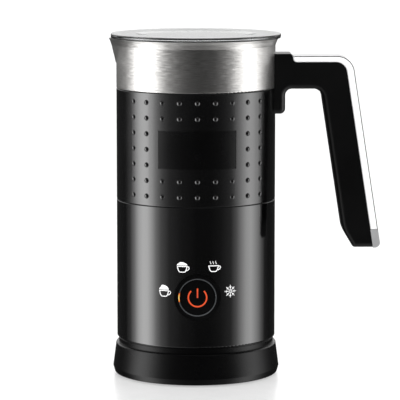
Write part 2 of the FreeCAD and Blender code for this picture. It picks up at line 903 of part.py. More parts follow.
def drive_chassis():
    low = S.ledge_top
    top = low + S.chassis_thick
    disc = cylinder(S.chassis_radius, low, top)
    plate_low = S.vessel_floor - S.heater_thick
    legs = []
    for angle in THREE_AROUND:
        x, y = around(S.chassis_leg_ring, angle + 60)
        legs.append(cylinder(S.chassis_leg_radius, top - 1, plate_low, x, y))
    x, y = around(S.sensor_ring, SOUTH)
    legs.append(cylinder(S.sensor_radius, top - 1, S.sensor_low, x, y))
    holes = [cylinder(S.chassis_hole, low - 1, top + 1)]
    for angle in (0, S.element_sweep.value):
        x, y = around(S.element_ring, angle)
        holes.append(cylinder(S.tail_hole_radius, low - 1, top + 1, x, y))
    for angle in TWO_SIDES:
        x, y = around(S.motor_screw_ring, angle)
        holes.append(cylinder(S.screw_shank_radius, low - 1, top + 1, x, y))
    part("drive_chassis", cut(fuse(disc, *legs), *holes))


def motor():
    top = S.ledge_top
    inner = S.motor_radius - S.motor_wall
    hollow = cylinder(inner, S.motor_low - 1, top - S.motor_wall)
    can = cut(cylinder(S.motor_radius, S.motor_low, top), hollow)
    holes = [cylinder(S.bush_radius, S.motor_low - 1, top + 1)]
    screws = []
    for angle in TWO_SIDES:
        x, y = around(S.motor_screw_ring, angle)
        holes.append(cylinder(S.screw_shank_radius, top - S.motor_wall - 1, top + 1, x, y))
        seat = top + S.chassis_thick
        head = cylinder(S.screw_head_radius, seat, seat + S.screw_head_height, x, y)
        screws.append(fuse(head, cylinder(S.screw_shank_radius, top - S.motor_wall, seat, x, y)))
    part("motor_can", cut(can, *holes))
    part("motor_screws", group(*screws))
    cap_low = S.motor_low - S.end_cap_thick
    bore = S.shaft_radius + S.shaft_clearance
    part("motor_end_cap", tube(bore, S.motor_radius, cap_low, S.motor_low))
    part("motor_bush", tube(bore, S.bush_radius, S.bush_low, S.bush_top))
    core = cylinder(S.field_inner, S.field_low - 1, S.field_top + 1)
    part("field_magnets", group(*[
        cut(sector(inner, S.field_low, S.field_top, angle, S.field_sweep), core)
        for angle in TWO_SIDES
    ]))


def rotor():
    part("motor_shaft", cylinder(S.shaft_radius, S.shaft_low, S.shaft_top))
    part("motor_armature", tube(S.shaft_radius, S.armature_radius, S.field_low, S.field_top))
    disc = cylinder(S.carrier_radius, S.carrier_low, S.carrier_top)
    hub = cylinder(S.carrier_hub_radius, S.carrier_hub_low, S.carrier_low + 1)
    pocket_low = S.carrier_top - S.drive_magnet_thick
    spots = [around(S.drive_magnet_ring, angle) for angle in FOUR_MAGNETS]
    pockets = [cylinder(S.drive_magnet_radius, pocket_low, S.carrier_top + 1, x, y) for x, y in spots]
    bore = cylinder(S.shaft_radius, S.carrier_hub_low - 1, S.shaft_top)
    part("magnet_carrier", cut(fuse(disc, hub), bore, *pockets))
    part("drive_magnets", group(*[
        cylinder(S.drive_magnet_radius, pocket_low, S.carrier_top, x, y) for x, y in spots
    ]))


def whisk():
    bore = S.spindle_radius + S.hub_clearance
    bore_top = S.hub_top - S.hub_cap_thick
    disc_top = S.hub_low + S.hub_disc_thick
    body = turned("HubSection", [
        (bore, S.hub_low),
        (S.hub_disc_radius, S.hub_low),
        (S.hub_disc_radius, disc_top),
        (S.hub_sleeve_radius, disc_top),
        (S.hub_sleeve_radius, S.hub_top, S.hub_cap_thick),
        (as_size(0), S.hub_top),
        (as_size(0), bore_top),
        (bore, bore_top),
    ])
    spots = [around(S.whisk_magnet_ring, angle) for angle in FOUR_MAGNETS]
    top = S.hub_low + S.whisk_magnet_thick
    pockets = [cylinder(S.whisk_magnet_radius, S.hub_low - 1, top, x, y) for x, y in spots]
    part("whisk_hub", cut(body, *pockets))
    part("whisk_magnets", group(*[
        cylinder(S.whisk_magnet_radius, S.hub_low, top, x, y) for x, y in spots
    ]))
    coil = bind(doc.addObject("Part::Torus", "Coil"), Radius1=S.coil_ring, Radius2=S.coil_radius)
    part("whisk_coil", place(coil, 0, 0, S.coil_height))


# ---- Electronics and button ----------------------------------------------------------


def power_board():
    low = S.boss_top
    top = low + S.board_thick
    front = block(-S.board_radius, S.board_radius, -2 * S.board_radius, -S.board_front, low - 1, top + 1)
    part("power_board", cut(cylinder(S.board_radius, low, top), front))
    parcels = [
        block(x, x + length, y, y + width, top, top + height)
        for x, y, length, width, height in (
            (S.relay_x, S.relay_y, S.relay_length, S.relay_width, S.relay_height),
            (S.supply_x, S.supply_y, S.supply_length, S.supply_width, S.supply_height),
            (-S.terminal_length / 2, S.terminal_y, S.terminal_length, S.terminal_width, S.terminal_height),
        )
    ]
    capacitor = cylinder(S.capacitor_radius, top, top + S.capacitor_height, -S.capacitor_x, S.capacitor_y)
    part("board_components", group(*parcels, capacitor))


def control_board():
    back = S.control_front - S.board_thick
    half = S.control_half_width
    part("control_board", block(-half, half, -S.control_front, -back, S.control_low, S.control_top))
    half = S.switch_half
    z = S.dial_height
    housing = block(-half, half, -S.switch_front, -S.control_front, z - half, z + half)
    hole = laid(S.switch_hole_radius, S.switch_front + 1, S.switch_hole_floor, 0, z)
    part("tact_switch", cut(housing, hole))
    ring = (S.ring_inner + S.bezel_inner) / 2
    half = S.led_size / 2
    chips = []
    for angle in MODE_ANGLES:
        x, rise = around(ring, angle)
        front = S.control_front + S.led_thick
        chips.append(block(x - half, x + half, -front, -S.control_front, z + rise - half, z + rise + half))
    part("mode_leds", group(*chips))


def button():
    z = S.dial_height
    rim = laid_tube(S.bezel_inner, S.bezel_radius, S.bezel_front, S.bezel_back, z)
    flange = laid_tube(S.bezel_inner, S.bezel_flange_radius, S.bezel_flange_front, S.bezel_back, z)
    part("button_bezel", fuse(rim, flange))
    start = 180 + S.mode_sweep.value / 2
    core = laid(S.ring_inner, S.ring_front + 1, S.bezel_back - 1, 0, z)
    grey = laid_sector(S.bezel_inner, S.ring_front, S.bezel_back, start, 360 - S.mode_sweep, z)
    part("light_ring", cut(grey, core))
    lit = laid_sector(S.bezel_inner, S.ring_front, S.bezel_back, start - S.mode_sweep.value, S.mode_sweep, z)
    part("mode_light", cut(lit, core))
    cap_back = S.cap_front - S.cap_thick
    cap = laid(S.cap_radius, S.cap_front, cap_back, 0, z)
    skirt = laid_tube(S.cap_radius - S.cap_wall, S.cap_radius, cap_back, cap_back - S.cap_skirt, z)
    part("power_button", cut(fuse(cap, skirt), power_symbol(S.cap_front + 1)))
    part("power_symbol_lens", power_symbol(S.cap_front))
    part("switch_plunger", laid(S.plunger_radius, cap_back, S.plunger_back, 0, z))


def power_symbol(front):
    """The broken ring and upright bar, from the given front face down to the inlay's floor."""
    z = S.dial_height
    floor = S.cap_front - S.symbol_depth
    core = laid(S.symbol_radius - S.symbol_stroke, front + 1, floor - 1, 0, z)
    start = (S.symbol_gap.value - 180) / 2
    arc = cut(laid_sector(S.symbol_radius, front, floor, start, 360 - S.symbol_gap, z), core)
    half = S.symbol_stroke / 2
    bar = block(-half, half, -front, -floor, z + S.symbol_bar_low, z + S.symbol_bar_top)
    return group(arc, bar)


# ---- Handle --------------------------------------------------------------------------


def outer_line(z, offset):
    """X of the grip's leaning outside face at a height."""
    return S.grip_outer + offset + (S.grip_datum - z) * S.grip_lean


def inner_line(z):
    return S.grip_inner + (S.grip_datum - z) * S.grip_lean


def handle_frame():
    body_side = S.body_radius - S.overcut
    flat = S.handle_width.value / 2
    grip = slab("GripSection", [
        (body_side, S.bracket_foot),
        (body_side, S.bracket_top),
        (S.bracket_reach, S.bracket_top, S.bracket_rounding),
        (S.arm_start, S.arm_top, S.arm_corner),
        (outer_line(S.arm_top, 0), S.arm_top, S.outer_corner),
        (outer_line(S.grip_bottom, 0), S.grip_bottom),
        (S.grip_toe, S.grip_bottom, S.toe_rounding),
        (inner_line(S.grip_heel), S.grip_heel, S.heel_rounding),
        (inner_line(S.arm_bottom), S.arm_bottom, S.inner_corner),
        (S.leg_reach, S.arm_bottom, S.leg_corner),
        (S.leg_reach, S.bracket_foot, S.foot_rounding),
    ], S.handle_width)

    def inside_edge(edge):
        spot = edge.CenterOfMass
        on_flat = abs(abs(spot.y) - flat) < S.fit_gap.value and edge.BoundBox.YLength < S.fit_gap.value
        under_arm = S.grip_bottom.value + 1 < spot.z < S.arm_bottom.value + 1
        behind_grip = spot.x < outer_line(spot.z, 0).value - S.grip_rounding.value
        clear_of_leg = spot.x > S.leg_reach.value - 1
        return on_flat and under_arm and behind_grip and clear_of_leg

    round_edges(grip, S.grip_rounding, inside_edge)
    wall = cylinder(S.body_radius, S.bracket_foot - 1, S.bracket_top + 1)
    half = S.hanger_width / 2
    plate = block(body_side, S.hanger_reach, -half, half, S.hanger_low, S.hanger_top)
    ear_half = S.ear_thick / 2
    ear = block(body_side, S.ear_reach, -ear_half, ear_half, S.ear_low, S.ear_top)
    part("handle_frame", cut(grip, wall, plate, ear, handle_screw_solid()))


def handle_screw_solid():
    """A screw across the bracket, its head sunk in the back."""
    x = S.handle_screw_x
    z = S.handle_screw_z
    back = S.handle_width / 2
    head = laid(S.handle_screw_head, -(back - S.overcut), -back, x, z)
    shank = laid(S.handle_screw_shank, S.handle_screw_end, -(back - S.overcut), x, z)
    return fuse(head, shank)


def handle_hanger():
    body_side = S.body_radius - S.overcut
    half = S.hanger_width / 2
    plate = block(body_side, S.hanger_reach, -half, half, S.hanger_low, S.hanger_top)
    ear_half = S.ear_thick / 2
    ear = block(body_side, S.ear_reach, -ear_half, ear_half, S.ear_low, S.ear_top)
    wall = cylinder(S.body_radius, S.hanger_low - 1, S.hanger_top + 1)
    hole = laid(S.handle_screw_shank, S.overcut, -S.overcut, S.handle_screw_x, S.handle_screw_z)
    part("handle_hanger", cut(fuse(plate, ear), wall, hole))
    part("handle_screw", handle_screw_solid())


def handle_trim():
    flat = S.handle_width.value / 2
    top = S.arm_top + S.trim_thick
    strip = slab("TrimSection", [
        (S.trim_start, S.arm_top, S.trim_foot),
        (S.trim_start - S.trim_lean, top, S.trim_rounding),
        (outer_line(top, S.trim_side), top, S.trim_corner),
        (outer_line(S.trim_end, S.trim_side), S.trim_end),
        (outer_line(S.trim_end, 0), S.trim_end),
        (outer_line(S.arm_top, 0), S.arm_top, S.outer_corner),
    ], S.handle_width)

    def outside_edge(edge):
        spot = edge.CenterOfMass
        on_flat = abs(abs(spot.y) - flat) < S.fit_gap.value and edge.BoundBox.YLength < S.fit_gap.value
        on_top = spot.z > top.value - 1
        on_corner = hasattr(edge.Curve, "Radius") and edge.Curve.Radius > S.outer_corner.value + 1
        on_side = spot.x > outer_line(spot.z, S.trim_side / 2).value and spot.z < S.arm_top.value
        return on_flat and (on_top or on_corner or on_side)

    round_edges(strip, S.trim_rounding, outside_edge)
    part("handle_trim", strip)


def handle_trim_cap():
    part("handle_trim_cap", slab("CapSection", [
        (outer_line(S.trim_end, 0), S.trim_end),
        (outer_line(S.trim_end, S.trim_side), S.trim_end),
        (outer_line(S.grip_bottom, S.trim_side), S.grip_bottom, S.cap_corner),
        (outer_line(S.grip_bottom, 0), S.grip_bottom),
    ], S.handle_width))


# ---- Lid -----------------------------------------------------------------------------


def lid():
    dish = S.lid_top - S.lid_dish_depth
    web = S.lid_top - S.lid_web
    dish_edge = S.lid_dish_radius + S.lid_dish_slope
    part("lid_disc", turned("LidSection", [
        (as_size(0), dish - S.lid_web),
        (S.lid_dish_radius, dish - S.lid_web),
        (dish_edge, web),
        (S.skirt_inner, web, S.lid_rounding),
        (S.skirt_inner, S.skirt_bottom),
        (S.skirt_outer, S.skirt_bottom),
        (S.skirt_outer, S.lid_under),
        (S.lid_radius, S.lid_under, S.lid_rounding),
        (S.lid_radius, S.lid_top, S.lid_rounding),
        (dish_edge, S.lid_top),
        (S.lid_dish_radius, dish),
        (as_size(0), dish),
    ]))
    rib = S.seal_rib
    root = S.seal_radius - S.turning_gap
    groove_low = S.seal_low + rib
    groove_top = groove_low + S.seal_groove
    part("lid_seal", turned("SealSection", [
        (S.skirt_outer, S.seal_low),
        (root, S.seal_low),
        (S.seal_radius, S.seal_low + rib / 2),
        (root, groove_low),
        (root, groove_top),
        (S.seal_radius, groove_top + rib / 2),
        (root, groove_top + rib),
        (S.skirt_outer, groove_top + rib),
    ]))


# ---- Whole object --------------------------------------------------------------------


def build():
    base_shell()
    base_plate()
    base_screws()
    foot_ring()
    cord_gland()
    base_connector()
    connector_socket()
    bottom_cover()
    lower_housing()
    upper_shell()
    grip_sleeve()
    label_plate()
    vessel()
    vessel_seal()
    spindle()
    heater()
    drive_chassis()
    motor()
    rotor()
    whisk()
    power_board()
    control_board()
    button()
    handle_frame()
    handle_hanger()
    handle_trim()
    handle_trim_cap()
    lid()


def check_and_write():
    doc.recompute()
    failed = [item.Label for item in doc.Objects if {"Invalid", "Error"} & set(item.State)]
    if failed:
        raise RuntimeError("failed: " + ", ".join(failed))
    for thing in parts:
        if thing.Shape.isNull() or not thing.Shape.isValid() or not thing.Shape.Solids:
            raise RuntimeError("no valid solid: " + thing.Label)
    os.makedirs("parts", exist_ok=True)
    for thing in parts:
        thing.Shape.exportStep("parts/%s.step" % thing.Label)
        print("%-22s %2d solid(s) %10.1f mm3" % (thing.Label, len(thing.Shape.Solids), thing.Shape.Volume))


build()
check_and_write()
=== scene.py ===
import json
import math

import bmesh
import bpy
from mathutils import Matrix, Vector


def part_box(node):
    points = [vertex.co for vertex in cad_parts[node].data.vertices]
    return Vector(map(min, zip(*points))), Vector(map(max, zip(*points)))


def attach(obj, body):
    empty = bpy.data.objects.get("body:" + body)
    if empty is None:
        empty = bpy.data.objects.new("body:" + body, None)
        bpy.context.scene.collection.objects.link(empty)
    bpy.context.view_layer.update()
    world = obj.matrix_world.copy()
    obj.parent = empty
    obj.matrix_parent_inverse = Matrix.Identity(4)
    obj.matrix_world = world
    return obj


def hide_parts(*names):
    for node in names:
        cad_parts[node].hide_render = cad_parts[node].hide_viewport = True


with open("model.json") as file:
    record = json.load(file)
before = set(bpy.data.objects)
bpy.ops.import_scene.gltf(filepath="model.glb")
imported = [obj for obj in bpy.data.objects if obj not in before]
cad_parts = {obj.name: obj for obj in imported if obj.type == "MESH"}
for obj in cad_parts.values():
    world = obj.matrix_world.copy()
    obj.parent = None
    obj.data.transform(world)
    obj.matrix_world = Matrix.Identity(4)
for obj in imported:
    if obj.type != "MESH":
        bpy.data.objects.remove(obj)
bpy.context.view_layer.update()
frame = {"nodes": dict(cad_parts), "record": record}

# The looks of a jug-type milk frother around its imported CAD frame.  Metres, +Z up, Z = 0 on
# the table, the controls face -Y, the handle points to +X and the beak to -X.

MM = 0.001
TAU = 2 * math.pi
SMOOTH_ANGLE = math.radians(32)


# ---- Sizes read from the frame -------------------------------------------------------

LID_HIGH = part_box("lid_disc")[1]
CAP_LOW, CAP_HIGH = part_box("power_button")
COIL_LOW, COIL_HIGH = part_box("whisk_coil")
LIGHT_LOW, LIGHT_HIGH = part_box("mode_light")
BODY_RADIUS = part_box("lower_housing")[1].x
DIAL_HEIGHT = (CAP_LOW.z + CAP_HIGH.z) / 2


# ---- Node trees ----------------------------------------------------------------------


class Tree:
    """A short way to build a node tree."""

    def __init__(self, tree):
        self.tree = tree
        self.tree.nodes.clear()

    def add(self, kind, **settings):
        node = self.tree.nodes.new(kind)
        for name, value in settings.items():
            setattr(node, name, value)
        return node

    def feed(self, value, socket):
        if isinstance(value, bpy.types.NodeSocket):
            self.tree.links.new(value, socket)
        else:
            socket.default_value = value

    def maths(self, operation, first, second=0.0):
        node = self.add("ShaderNodeMath", operation=operation)
        self.feed(first, node.inputs[0])
        self.feed(second, node.inputs[1])
        return node.outputs[0]

    def span(self, value, at, to=(0.0, 1.0), smooth=False):
        """A value stretched from the range at to the range to."""
        node = self.add("ShaderNodeMapRange", interpolation_type="SMOOTHSTEP" if smooth else "LINEAR")
        self.feed(value, node.inputs["Value"])
        node.inputs["From Min"].default_value, node.inputs["From Max"].default_value = at
        node.inputs["To Min"].default_value, node.inputs["To Max"].default_value = to
        return node.outputs["Result"]

    def ramp(self, value, stops, interpolation="LINEAR"):
        """A colour from a row of (place, colour) stops."""
        node = self.add("ShaderNodeValToRGB")
        node.color_ramp.interpolation = interpolation
        row = node.color_ramp.elements
        while len(row) < len(stops):
            row.new(0.5)
        for element, (place, colour) in zip(row, stops):
            element.position = place
        for element, (place, colour) in zip(row, stops):
            element.color = (*colour, 1)
        self.feed(value, node.inputs["Fac"])
        return node.outputs["Color"]


class Finish(Tree):
    """A Principled material with nodes for its detail."""

    def __init__(self, name, **values):
        self.material = bpy.data.materials.new(name)
        self.material.use_nodes = True
        super().__init__(self.material.node_tree)
        output = self.add("ShaderNodeOutputMaterial")
        self.shader = self.add("ShaderNodeBsdfPrincipled")
        self.feed(self.shader.outputs["BSDF"], output.inputs["Surface"])
        self.set(**values)

    def set(self, **values):
        for name, value in values.items():
            self.feed(value, self.shader.inputs[name.replace("_", " ")])

    def place(self, scale=(1, 1, 1)):
        """Object coordinates, scaled."""
        where = self.add("ShaderNodeTexCoord")
        mapping = self.add("ShaderNodeMapping")
        mapping.inputs["Scale"].default_value = scale
        self.feed(where.outputs["Object"], mapping.inputs["Vector"])
        return mapping.outputs["Vector"]

    def noise(self, vector, scale, detail=3.0, rough=0.55):
        texture = self.add("ShaderNodeTexNoise")
        texture.inputs["Scale"].default_value = scale
        texture.inputs["Detail"].default_value = detail
        texture.inputs["Roughness"].default_value = rough
        self.feed(vector, texture.inputs["Vector"])
        return texture.outputs["Fac"]

    def bump(self, height, strength, distance):
        node = self.add("ShaderNodeBump")
        node.inputs["Strength"].default_value = strength
        node.inputs["Distance"].default_value = distance
        self.feed(height, node.inputs["Height"])
        self.set(Normal=node.outputs["Normal"])


# ---- Materials -----------------------------------------------------------------------

NOISE_RANGE = (0.3, 0.7)


def moulded(name, colour, rough, grain, bump, drift=0.18, spread=0.04, **values):
    """Moulded plastic or rubber: a fine grain, a slight colour drift and uneven gloss."""
    m = Finish(name, **values)
    where = m.place()
    broad = m.noise(where, 38.0)
    dark = [c * (1 - drift) for c in colour]
    light = [c * (1 + drift) for c in colour]
    m.set(Base_Color=m.ramp(broad, [(0.3, dark), (0.7, light)]))
    m.set(Roughness=m.span(broad, NOISE_RANGE, (rough - spread, rough + spread)))
    m.bump(m.noise(where, grain, 2.0), bump, 0.00012)
    return m.material


def metal(name, colour, rough, scale, bump, drift=0.12, spread=0.05, **values):
    """Plain metal with fine scratches and a slightly uneven polish."""
    m = Finish(name, Metallic=1.0, **values)
    fine = m.noise(m.place(scale), 1.0, 4.0, 0.65)
    dark = [c * (1 - drift) for c in colour]
    light = [min(1.0, c * (1 + drift)) for c in colour]
    m.set(Base_Color=m.ramp(fine, [(0.3, dark), (0.7, light)]))
    m.set(Roughness=m.span(fine, NOISE_RANGE, (rough - spread, rough + spread)))
    m.bump(fine, bump, 0.00002)
    return m.material


STEEL_DARK = (0.54, 0.53, 0.515)
STEEL_LIGHT = (0.72, 0.71, 0.695)
STEEL_ROUGHNESS = (0.33, 0.45)
STREAK_RANGE = (0.36, 0.64)
STREAK_SCALE = 2600.0
STREAK_STRETCH = 0.0035
# The brushing also leans the surface a little along the turn, in shorter strokes.
WAVER_SCALE = 2300.0
WAVER_STRETCH = 0.003
WAVER_LEAN = 0.09


def brushed_steel(name):
    """Steel brushed round the jug: long fine streaks that follow the turn."""
    m = Finish(name, Metallic=1.0, Anisotropic=0.35, Anisotropic_Rotation=0.25)
    where = m.add("ShaderNodeTexCoord")
    parts = m.add("ShaderNodeSeparateXYZ")
    m.feed(where.outputs["Object"], parts.inputs["Vector"])
    turn = m.maths("ARCTAN2", parts.outputs["Y"], parts.outputs["X"])
    strip = m.add("ShaderNodeCombineXYZ")
    m.feed(m.maths("MULTIPLY", turn, STREAK_STRETCH), strip.inputs["X"])
    m.feed(parts.outputs["Z"], strip.inputs["Z"])
    streaks = m.noise(strip.outputs["Vector"], STREAK_SCALE, 5.0, 0.7)
    low, high = STREAK_RANGE
    m.set(Base_Color=m.ramp(streaks, [(low, STEEL_DARK), (high, STEEL_LIGHT)]))
    m.set(Roughness=m.span(streaks, STREAK_RANGE, STEEL_ROUGHNESS))
    tangent = m.add("ShaderNodeTangent", direction_type="RADIAL", axis="Z")
    m.set(Tangent=tangent.outputs["Tangent"])
    short = m.add("ShaderNodeCombineXYZ")
    m.feed(m.maths("MULTIPLY", turn, WAVER_STRETCH), short.inputs["X"])
    m.feed(parts.outputs["Z"], short.inputs["Z"])
    waver = m.noise(short.outputs["Vector"], WAVER_SCALE, 4.0, 0.75)
    lean = m.add("ShaderNodeVectorMath", operation="SCALE")
    m.feed(tangent.outputs["Tangent"], lean.inputs[0])
    m.feed(m.span(waver, NOISE_RANGE, (-WAVER_LEAN, WAVER_LEAN)), lean.inputs["Scale"])
    facing = m.add("ShaderNodeNewGeometry")
    turned_out = m.add("ShaderNodeVectorMath", operation="ADD")
    m.feed(facing.outputs["Normal"], turned_out.inputs[0])
    m.feed(lean.outputs["Vector"], turned_out.inputs[1])
    straight = m.add("ShaderNodeVectorMath", operation="NORMALIZE")
    m.feed(turned_out.outputs["Vector"], straight.inputs[0])
    m.set(Normal=straight.outputs["Vector"])
    return m.material


def silver_paint(name):
    """Satin silver: a pale base with fine flakes and a clear top."""
    m = Finish(name, Metallic=0.12, Coat_Weight=0.3, Coat_Roughness=0.12)
    where = m.place()
    flakes = m.noise(where, 2600.0, 2.0)
    m.set(Base_Color=m.ramp(flakes, [(0.3, (0.90, 0.90, 0.905)), (0.7, (0.96, 0.96, 0.965))]))
    m.set(Roughness=m.span(m.noise(where, 60.0), NOISE_RANGE, (0.28, 0.36)))
    m.bump(flakes, 0.02, 0.00002)
    return m.material


def glow(name, stops, centre, reach):
    """A lit inlay, in colours that change with the distance from a centre."""
    m = Finish(name, Roughness=0.35, Emission_Strength=1.0)
    where = m.add("ShaderNodeTexCoord")
    away = m.add("ShaderNodeVectorMath", operation="DISTANCE")
    m.feed(where.outputs["Object"], away.inputs[0])
    away.inputs[1].default_value = centre
    colour = m.ramp(m.span(away.outputs["Value"], (0, reach)), stops)
    m.set(Base_Color=(0.03, 0.004, 0.001, 1), Emission_Color=colour)
    return m.material


def clear_plastic(name):
    m = Finish(name, Transmission_Weight=1.0, IOR=1.46)
    fine = m.noise(m.place(), 260.0, 2.0)
    m.set(Base_Color=m.ramp(fine, [(0.3, (0.96, 0.98, 0.98)), (0.7, (0.99, 1.0, 1.0))]))
    m.set(Roughness=m.span(fine, NOISE_RANGE, (0.015, 0.05)))
    return m.material


SYMBOL_STOPS = [
    (0.0, (0.62, 0.085, 0.04)),
    (0.5, (0.74, 0.075, 0.03)),
    (0.75, (0.86, 0.11, 0.032)),
    (1.0, (0.8, 0.09, 0.03)),
]
LIT_STOPS = [(0.0, (1.0, 0.78, 0.27)), (0.55, (1.0, 0.52, 0.1)), (0.9, (0.9, 0.13, 0.01))]
LIGHT_MIDDLE = ((LIGHT_LOW.x + LIGHT_HIGH.x) / 2, LIGHT_LOW.y, (LIGHT_LOW.z + LIGHT_HIGH.z) / 2)
SYMBOL_LOW, SYMBOL_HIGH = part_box("power_symbol_lens")
SYMBOL_MIDDLE = (0, SYMBOL_LOW.y, DIAL_HEIGHT)

DEEP_BLACK = (0.001, 0.001, 0.0011)

MATERIALS = {
    "black_base": moulded("base satin black", (0.0012, 0.0012, 0.0013), 0.26, 5200, 0.16, IOR=1.3),
    "gloss_black": moulded("housing gloss black", DEEP_BLACK, 0.08, 900, 0.01, spread=0.012, IOR=1.8),
    "soft_black": moulded("soft-touch black", DEEP_BLACK, 0.16, 4200, 0.1, spread=0.03, IOR=1.8),
    "handle_black": moulded("handle black", (0.0015, 0.0015, 0.0016), 0.36, 4600, 0.15),
    "label_black": moulded("panel black", DEEP_BLACK, 0.26, 1500, 0.03, IOR=1.42),
    "dial_black": moulded("dial black", (0.0012, 0.0012, 0.0013), 0.34, 5200, 0.1, IOR=1.4),
    "component_black": moulded("moulded black", (0.016, 0.016, 0.016), 0.5, 3000, 0.2),
    "black_silicone": moulded("black silicone", (0.01, 0.01, 0.01), 0.6, 2600, 0.1),
    "foot_rubber": moulded("foot rubber", (0.027, 0.027, 0.027), 0.75, 2400, 0.3),
    "white_nylon": moulded("natural nylon", (0.74, 0.73, 0.69), 0.45, 1800, 0.1, 0.04),
    "board_green": moulded("solder mask", (0.013, 0.12, 0.042), 0.25, 700, 0.05),
    "ferrite": moulded("ferrite", (0.045, 0.045, 0.046), 0.6, 2600, 0.3),
    "ring_grey": moulded("light guide grey", (0.052, 0.055, 0.058), 0.3, 2000, 0.03),
    "steel": brushed_steel("brushed steel"),
    "trim_chrome": silver_paint("satin silver"),
    "satin_metal": metal("satin metal", (0.48, 0.48, 0.49), 0.34, (900, 60, 900), 0.05),
    "copper_brass": metal("contact brass", (0.76, 0.54, 0.24), 0.28, (500, 500, 60), 0.04),
    "plated_steel": metal("zinc plate", (0.64, 0.64, 0.63), 0.3, (500, 500, 500), 0.05),
    "motor_steel": metal("motor can steel", (0.5, 0.5, 0.5), 0.4, (300, 300, 60), 0.05),
    "aluminium": metal("cast aluminium", (0.72, 0.72, 0.72), 0.42, (260, 260, 260), 0.1),
    "element_metal": metal("element sheath", (0.19, 0.18, 0.17), 0.5, (300, 300, 300), 0.1, 0.3),
    "magnet_grey": metal("nickel plate", (0.65, 0.64, 0.61), 0.2, (300, 300, 300), 0.03),
    "clear_lid": clear_plastic("clear lid"),
    "amber_light": glow("lit symbol", SYMBOL_STOPS, SYMBOL_MIDDLE, SYMBOL_HIGH.x),
}
LIT_MODE = glow("lit mode", LIT_STOPS, LIGHT_MIDDLE, (LIGHT_HIGH.z - LIGHT_LOW.z) / 2)
CAP_SILVER = moulded("satin end cap", (0.36, 0.36, 0.365), 0.34, 900, 0.03, 0.1, Metallic=0.25)
PRINT_WHITE = moulded("printed white", (0.9, 0.9, 0.9), 0.4, 2600, 0.02, 0.02)


def dress(thing, slot_name, material=None):
    """Gives an object the procedural material of its slot."""
    thing.data.materials.clear()
    thing.data.materials.append(material or MATERIALS[slot_name])


def dress_cad_nodes():
    for row in frame["record"]["subparts"]:
        dress(frame["nodes"][row["node"]], row["material_slot"])
    dress(frame["nodes"]["mode_light"], "amber_light", LIT_MODE)
    dress(frame["nodes"]["handle_trim_cap"], "satin_metal", CAP_SILVER)
    dress(frame["nodes"]["upper_shell"], "component_black", MATERIALS["dial_black"])


# ---- Mesh helpers --------------------------------------------------------------------


def piece(name, mesh_data, slot_name, body, replaced=(), sharp=SMOOTH_ANGLE, material=None):
    """Turns a bmesh into a smooth-shaded piece that rides on a body."""
    bmesh.ops.recalc_face_normals(mesh_data, faces=mesh_data.faces)
    mesh = bpy.data.meshes.new(name)
    mesh_data.to_mesh(mesh)
    mesh_data.free()
    mesh.shade_smooth()
    mesh.set_sharp_from_angle(angle=sharp)
    thing = bpy.data.objects.new(name, mesh)
    bpy.context.scene.collection.objects.link(thing)
    dress(thing, slot_name, material)
    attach(thing, body)
    if replaced:
        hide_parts(*replaced)
    return thing


def add_tube(surface, path, radius, sides=10, closed=True):
    """A round wire along a list of points, in metres."""
    count = len(path)
    rings = []
    lift = Vector((0, 0, 1))
    for i, point in enumerate(path):
        ahead = path[(i + 1) % count] if closed or i < count - 1 else point
        behind = path[i - 1] if closed or i else point
        along = (ahead - behind).normalized()
        across = along.cross(lift).normalized()
        lift = across.cross(along)
        ring = []
        for k in range(sides):
            turn = TAU * k / sides
            out = across * math.cos(turn) + lift * math.sin(turn)
            ring.append(surface.verts.new(point + out * radius))
        rings.append(ring)
    for i in range(count if closed else count - 1):
        first, second = rings[i], rings[(i + 1) % count]
        for k in range(sides):
            after = (k + 1) % sides
            surface.faces.new((first[k], first[after], second[after], second[k]))
    if not closed:
        surface.faces.new(rings[0])
        surface.faces.new(rings[-1])


# ---- Printed symbols -----------------------------------------------------------------

PRINT_DEPTH = 0.12 * MM
PRINT_PROUD = 0.07 * MM
PRINT_STEP = 0.5 * MM


def on_housing(x, z, out):
    """A point of the housing's face, x along its curve and z up from the table."""
    turn = x / BODY_RADIUS
    radius = BODY_RADIUS + out
    return Vector((radius * math.sin(turn), -radius * math.cos(turn), z))


def add_ribbon(surface, points, width):
    """A flat printed line of one width through (x, z) points."""
    line = [Vector(points[0])]
    for start, end in zip(points, points[1:]):
        start, end = Vector(start), Vector(end)
        steps = max(1, math.ceil((end - start).length / PRINT_STEP))
        line += [start.lerp(end, (k + 1) / steps) for k in range(steps)]
    rings = []
    for i, here in enumerate(line):
        arriving = (here - line[i - 1]).normalized() if i else (line[1] - here).normalized()
        leaving = (line[i + 1] - here).normalized() if i < len(line) - 1 else arriving
        along = (arriving + leaving).normalized()
        side = Vector((-along.y, along.x)) * width / 2 / max(0.6, along.dot(arriving))
        corners = [(side, PRINT_PROUD), (-side, PRINT_PROUD), (-side, -PRINT_DEPTH), (side, -PRINT_DEPTH)]
        rings.append([surface.verts.new(on_housing(*(here + aside), out)) for aside, out in corners])
    join_rings(surface, rings)


def join_rings(surface, rings):
    """Walls between rows of four corners, and the two ends."""
    for first, second in zip(rings, rings[1:]):
        for k in range(4):
            after = (k + 1) % 4
            surface.faces.new((first[k], first[after], second[after], second[k]))
    surface.faces.new(rings[0])
    surface.faces.new(rings[-1])


def add_heap(surface, tops, floor, x, z):
    """A flat printed shape on a level floor, under a line of (x, z) points."""
    rings = []
    for (left, low), (right, high) in zip(tops, tops[1:]):
        steps = max(1, math.ceil((right - left) * MM / PRINT_STEP))
        for k in range(steps + 1):
            if k == 0 and rings:
                continue
            across = left + (right - left) * k / steps
            top = low + (high - low) * k / steps
            corners = [(top, PRINT_PROUD), (floor, PRINT_PROUD), (floor, -PRINT_DEPTH), (top, -PRINT_DEPTH)]
            place = x + across * MM
            rings.append([surface.verts.new(on_housing(place, z + up * MM, out)) for up, out in corners])
    join_rings(surface, rings)


